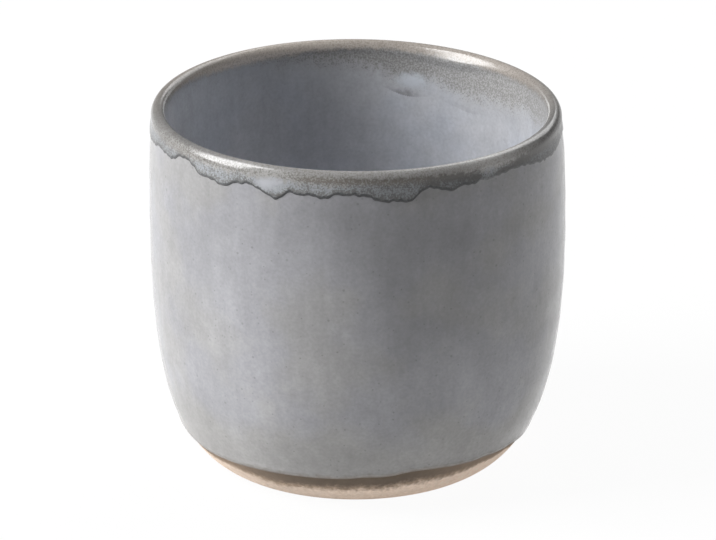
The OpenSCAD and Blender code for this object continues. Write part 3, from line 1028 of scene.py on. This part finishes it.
# %% Rim glaze, its borders
rim, tree, shader = finish("rim glaze", IOR=1.5)
where = placed(tree)
crest = value_of(tree, "from_crest")
stop = value_of(tree, "from_stop")
inner_stop = value_of(tree, "from_inner_stop")
pale = value_of(tree, "pale")
dark = value_of(tree, "dark")
brown = value_of(tree, "brown")
ragged = fray(tree, where, 0.9 * MM, reach=0.5)
fine = fray(tree, where, 0.35 * MM, reach=0.5)
outer_side = swing(tree, plus(tree, crest, times(tree, ragged, 0.4)), -0.4, 0.6)

# %% [markdown]
# Outside, just below the crest, the coat breaks brown in a band of close specks. Further down it turns a
# grey blue, with pale clouds and dark smudges in it, and its specks close up again along the run line.

# %% Rim glaze outside
RIM_BODY = paint(145, 144, 142)
RIM_BLUE = paint(141, 145, 150)
RIM_PALE = paint(172, 173, 179)
RIM_DARK = paint(88, 86, 84)
RIM_SPECK = paint(82, 80, 76)
RIM_BROWN = paint(90, 81, 71)

below_band = swing(tree, plus(tree, crest, ragged), 1.8, 2.8)
coat = blend(tree, times(tree, below_band, 0.8), RIM_BODY, RIM_BLUE)
coarse = mottle(tree, where, 1.8 * MM, depth=0.07)
coat = shaded(tree, coat, times(tree, coarse, mottle(tree, where, 0.5 * MM, depth=0.07)))
near_line = swing(tree, stop, 0.3, 1.4, 0.45, 0.0)
browner = times(tree, brown, 0.5)
darker = times(tree, dark, 0.4)
paler = times(tree, pale, -0.9)
density = plus(tree, 0.34, browner, darker, near_line, paler, times(tree, ragged, 0.3))
grain = speckle(tree, where, density)
speck_colour = blend(tree, brown, RIM_SPECK, RIM_BROWN)
coat = blend(tree, times(tree, grain, 0.72), coat, speck_colour)
coat = shaded(tree, coat, value_of(tree, "coat_tone"))
smudge = plus(tree, dark, times(tree, ragged, 0.35), times(tree, fine, 0.35))
coat = blend(tree, swing(tree, smudge, 0.3, 0.9, 0.0, 0.75), coat, RIM_DARK)
cloud = plus(tree, pale, times(tree, ragged, 0.3), times(tree, fine, 0.15))
cloud = swing(tree, cloud, 0.2, 0.8, 0.0, 0.9)
coat = blend(tree, cloud, coat, RIM_PALE)

# %% [markdown]
# Inside, the coat's specks thin out down the wall until only the liner is left. At the back its stop
# shows as a thin dark edge, with one pale cloud beside it.

# %% Rim glaze inside
INSIDE_CLOUD = paint(182, 187, 194)
inside_fade = swing(tree, plus(tree, inner_stop, times(tree, ragged, 1.5)), 0.3, 4.5)
inside_grain = speckle(tree, where, plus(tree, -0.2, times(tree, inside_fade, 0.8)))
inside_coat = blend(tree, times(tree, inside_fade, 0.8), liner_colour(tree, where), RIM_BODY)
inside_coat = blend(tree, times(tree, inside_grain, 0.5), inside_coat, RIM_SPECK)
# Painted light: the coat inside is lighter on the right.
painted_light_inside = times(tree, inside_fade, value_of(tree, "painted_light_inside"))
inside_coat = shaded(tree, inside_coat, plus(tree, 1.0, painted_light_inside))
inside_coat = blend(tree, times(tree, cloud, 0.95), inside_coat, INSIDE_CLOUD)
inner_edge = swing(tree, plus(tree, inner_stop, times(tree, ragged, 0.8)), 0.0, 1.5, 0.6, 0.0)
inside_coat = blend(tree, times(tree, inner_edge, value_of(tree, "inner_line")), inside_coat, RIM_SPECK)

# %% [markdown]
# Over the crest of the lip the coat is thin and burns pale: grey at the front, and beige at the back, with
# painted light and shade over it. A painted highlight, a fine white line, follows the lip's inner edge on
# both sides, and the run outside ends in a dark line.

# %% Rim glaze on the crest and its lines
RIM_CREST = paint(142, 141, 140)
RIM_CREST_BACK = paint(146, 139, 132)
RIM_LINE = paint(50, 51, 53)
LIP_HIGHLIGHT_WHITE = paint(235, 235, 234)
past_crest = plus(tree, value_of(tree, "past_crest"), times(tree, ragged, 0.5), times(tree, fine, 0.3))
top = times(
    tree,
    swing(tree, plus(tree, crest, times(tree, ragged, 0.5), value_of(tree, "crest_wide")), -2.0, -1.0),
    swing(tree, past_crest, -0.2, 0.5, 1.0, 0.0),
)
colour = blend(tree, outer_side, inside_coat, coat)
crest_grain = speckle(tree, where, 0.4)
backward = add(tree, "ShaderNodeSeparateXYZ", {"Vector": where}).outputs["Y"]
crest_base = blend(tree, swing(tree, backward, -15 * MM, 15 * MM), RIM_CREST, RIM_CREST_BACK)
crest_colour = blend(tree, times(tree, crest_grain, 0.45), crest_base, RIM_BROWN)
# Painted light and shade on the crest, together with its own tone.
crest_colour = shaded(tree, crest_colour, value_of(tree, "crest_tone_and_painted_light"))
colour = blend(tree, times(tree, top, 0.85), colour, crest_colour)
# Painted highlight: a fine white line just inside the lip's crest.
from_edge = calc(tree, "ABSOLUTE", plus(tree, crest, 0.9, times(tree, fine, 0.2)))
painted_lip_highlight = times(tree, swing(tree, from_edge, 0.06, 0.2, 1.0, 0.0), value_of(tree, "painted_lip_highlight"))
colour = blend(tree, times(tree, painted_lip_highlight, 0.8), colour, LIP_HIGHLIGHT_WHITE)
line_edge = plus(tree, stop, times(tree, ragged, 0.2), times(tree, fine, 0.15))
line = times(tree, swing(tree, line_edge, 0.25, 0.62, 1.0, 0.0), outer_side, value_of(tree, "line"))
colour = blend(tree, line, colour, RIM_LINE)
tree.links.new(colour, shader.inputs["Base Color"])
satin(tree, shader, where, smooth=0.16, rough=0.27)
dress(rim_coat, rim)

# %% [markdown]
# The bare clay is beige and sandy, with painted light that makes it paler on the right and painted shade
# that makes it darker at the front left. Just below the glaze a band of it is toasted brown, darkest
# against the glaze, and it fades with a ragged edge.

# %% Bare clay
CLAY = paint(222, 202, 184)
CLAY_PALE = paint(232, 214, 198)
TOAST_LIGHT = paint(150, 127, 105)
TOAST_DARK = paint(106, 94, 82)

bare_clay, tree, shader = finish("bare clay", Roughness=0.8, Specular_IOR_Level=0.3)
where = placed(tree)
sandy = swing(tree, noise(tree, where, 0.5 * MM, detail=3.0), NOISE_LOW, NOISE_HIGH)
colour = blend(tree, sandy, CLAY, CLAY_PALE)
# Painted light and shade: paler on the right, darker at the front left.
colour = shaded(tree, colour, plus(tree, 1.0, times(tree, value_of(tree, "painted_light_on_clay"), 0.25)))
ragged = fray(tree, where, 1.0 * MM, reach=0.16, detail=4.0, roughness=0.6)
depth = plus(tree, value_of(tree, "toast"), ragged)
colour = blend(tree, swing(tree, depth, 0.8, 1.3, 0.75, 0.0), colour, TOAST_LIGHT)
burnt = times(tree, swing(tree, depth, 0.5, 1.05, 1.0, 0.0), value_of(tree, "burn"))
colour = blend(tree, burnt, colour, TOAST_DARK)
colour = shaded(tree, colour, mottle(tree, where, 1.2 * MM, depth=0.06))
tree.links.new(colour, shader.inputs["Base Color"])
bump(tree, shader, noise(tree, where, 0.3 * MM, detail=3.0), height=0.04 * MM)
dress(clay, bare_clay)

# %% [markdown]
# The cup stands on a plain pale floor. What the camera sees of it is almost a plain white, and the rest
# is the floor's own lit surface, so the cup keeps a soft shadow. A part of the plain white also counts
# for the light that the floor throws back, because the foot would turn dark on a floor in the cup's own
# shadow. Its gloss shows only where the glaze mirrors the floor, and never to the camera.

# %% Floor
WHITE = (1, 1, 1, 1)
FLOOR_GREY = (0.9, 0.9, 0.9, 1)
FLOOR_SIZE = 6.0
PLAIN_SHARE = 0.95
FLOOR_MIRRORED = 0.5
FLOOR_THROWN_BACK = 0.32


def seen(tree, mirrored, thrown_back=0.0):
    """1 for rays that come straight from the camera or through glass, the share named by mirrored for
    rays that come from a reflection, and the share named by thrown_back for all the others."""
    path = add(tree, "ShaderNodeLightPath")
    straight = calc(tree, "MAXIMUM", path.outputs["Is Camera Ray"], path.outputs["Is Transmission Ray"])
    reflected = times(tree, path.outputs["Is Glossy Ray"], mirrored)
    return calc(tree, "MAXIMUM", calc(tree, "MAXIMUM", straight, reflected), thrown_back)


corners = np.array([[-1, -1, 0], [1, -1, 0], [1, 1, 0], [-1, 1, 0]]) * FLOOR_SIZE / 2
floor_mesh = bpy.data.meshes.new("floor")
floor_mesh.from_pydata(corners, [], [(0, 1, 2, 3)])
floor = bpy.data.objects.new("floor", floor_mesh)
bpy.context.scene.collection.objects.link(floor)
table, tree, shader = finish("pale table", Base_Color=FLOOR_GREY, Roughness=0.07)
table_gloss = add(tree, "ShaderNodeLightPath").outputs["Is Glossy Ray"]
tree.links.new(table_gloss, shader.inputs["Specular IOR Level"])
plain = add(tree, "ShaderNodeEmission", {"Color": WHITE, "Strength": 1.0})
plain_share = times(tree, seen(tree, FLOOR_MIRRORED, FLOOR_THROWN_BACK), PLAIN_SHARE)
mixed = add(tree, "ShaderNodeMixShader", {0: plain_share, 1: shader.outputs[0], 2: plain.outputs[0]})
tree.links.new(mixed.outputs[0], tree.nodes["Material Output"].inputs["Surface"])
dress(floor, table)

# %% [markdown]
# The room round the table is white to the camera, a quarter as bright in reflections, and gives hardly
# any light of its own.

# %% Room
ROOM_FILL = 0.02
ROOM_MIRRORED = 0.25
world = bpy.data.worlds.new("studio")
world.use_nodes = True
bpy.context.scene.world = world
tree = world.node_tree
strength = swing(tree, seen(tree, ROOM_MIRRORED), 0.0, 1.0, ROOM_FILL, 1.0, smooth=False)
background = tree.nodes["Background"]
background.inputs["Color"].default_value = WHITE
tree.links.new(strength, background.inputs["Strength"])

# %% [markdown]
# Four soft lamps stand round the table. A large one on the left gives most of the light, and the long
# highlight on the front of the lip. One at the back right makes the highlight on the far lip. Two weak
# ones only lift the shade on the back left and on the right, and they don't show in the glaze, where
# their mirror images would be too much.

# %% Lamps
LAMP_AWAY = 0.7


def watts(level):
    """Power of a lamp at that distance that lights a facing surface to its own colour times the level:
    the square of pi times the distance, times the level."""
    return math.pi**2 * LAMP_AWAY**2 * level


def softbox(name, azimuth, elevation, width, height, level, mirrored):
    """An area lamp that faces the cup, at angles round it and above the floor in degrees. Its sides are
    in metres, and mirrored says whether it shows in the glaze."""
    lamp = bpy.data.lights.new(name, "AREA")
    lamp.shape = "RECTANGLE"
    lamp.size = width
    lamp.size_y = height
    lamp.energy = watts(level)
    made = bpy.data.objects.new(name, lamp)
    bpy.context.scene.collection.objects.link(made)
    a, e = math.radians(azimuth), math.radians(elevation)
    back = np.array([math.cos(a) * math.cos(e), math.sin(a) * math.cos(e), math.sin(e)])
    made.location = back * LAMP_AWAY + np.array([0, 0, cup_h / 2])
    made.rotation_mode = "QUATERNION"
    made.rotation_quaternion = Vector(-back).to_track_quat("-Z", "Y")
    made.visible_camera = False
    made.visible_glossy = mirrored
    print(f"{name}: {lamp.energy:.2f} W at {azimuth} degrees, {elevation} above the floor")


softbox("left softbox", azimuth=189, elevation=36, width=0.36, height=0.56, level=1.68, mirrored=True)
softbox("back left lamp", azimuth=120, elevation=18, width=0.5, height=0.5, level=0.12, mirrored=False)
softbox("back right lamp", azimuth=60, elevation=38, width=0.45, height=0.45, level=0.42, mirrored=True)
softbox("right lamp", azimuth=12, elevation=38, width=0.6, height=0.6, level=0.21, mirrored=False)

# %% [markdown]
# The camera looks down at the cup from the front with a long lens, as the photograph does. Its focal
# length was found in pixels of the picture, and the lens follows from the picture's width.

# %% Camera
PICTURE_W = 716
FOCAL_PX = 4391
SENSOR_W = 36.0
LOOK_DOWN = math.radians(21.7)
CAMERA_AWAY = 0.7
aim = np.array([0.1 * MM, 0, 29.75 * MM])
camera_data = bpy.data.cameras.new("camera")
camera_data.sensor_width = SENSOR_W
camera_data.lens = FOCAL_PX * SENSOR_W / PICTURE_W
camera_data.clip_start = 0.05
camera_data.clip_end = 20
camera = bpy.data.objects.new("camera", camera_data)
bpy.context.scene.collection.objects.link(camera)
camera.location = aim + CAMERA_AWAY * np.array([0, -math.cos(LOOK_DOWN), math.sin(LOOK_DOWN)])
camera.rotation_euler = (math.pi / 2 - LOOK_DOWN, 0, 0)
bpy.context.scene.camera = camera
bpy.context.scene.view_settings.view_transform = "Standard"
print(f"lens {camera_data.lens:.0f} mm, {CAMERA_AWAY} m from the cup")

# %% [markdown]
# Last, the box of the imported model is printed.

# %% Sizes for the record
print("CAD box ", [round(v / MM, 3) for v in (*cad_low, *cad_high)])
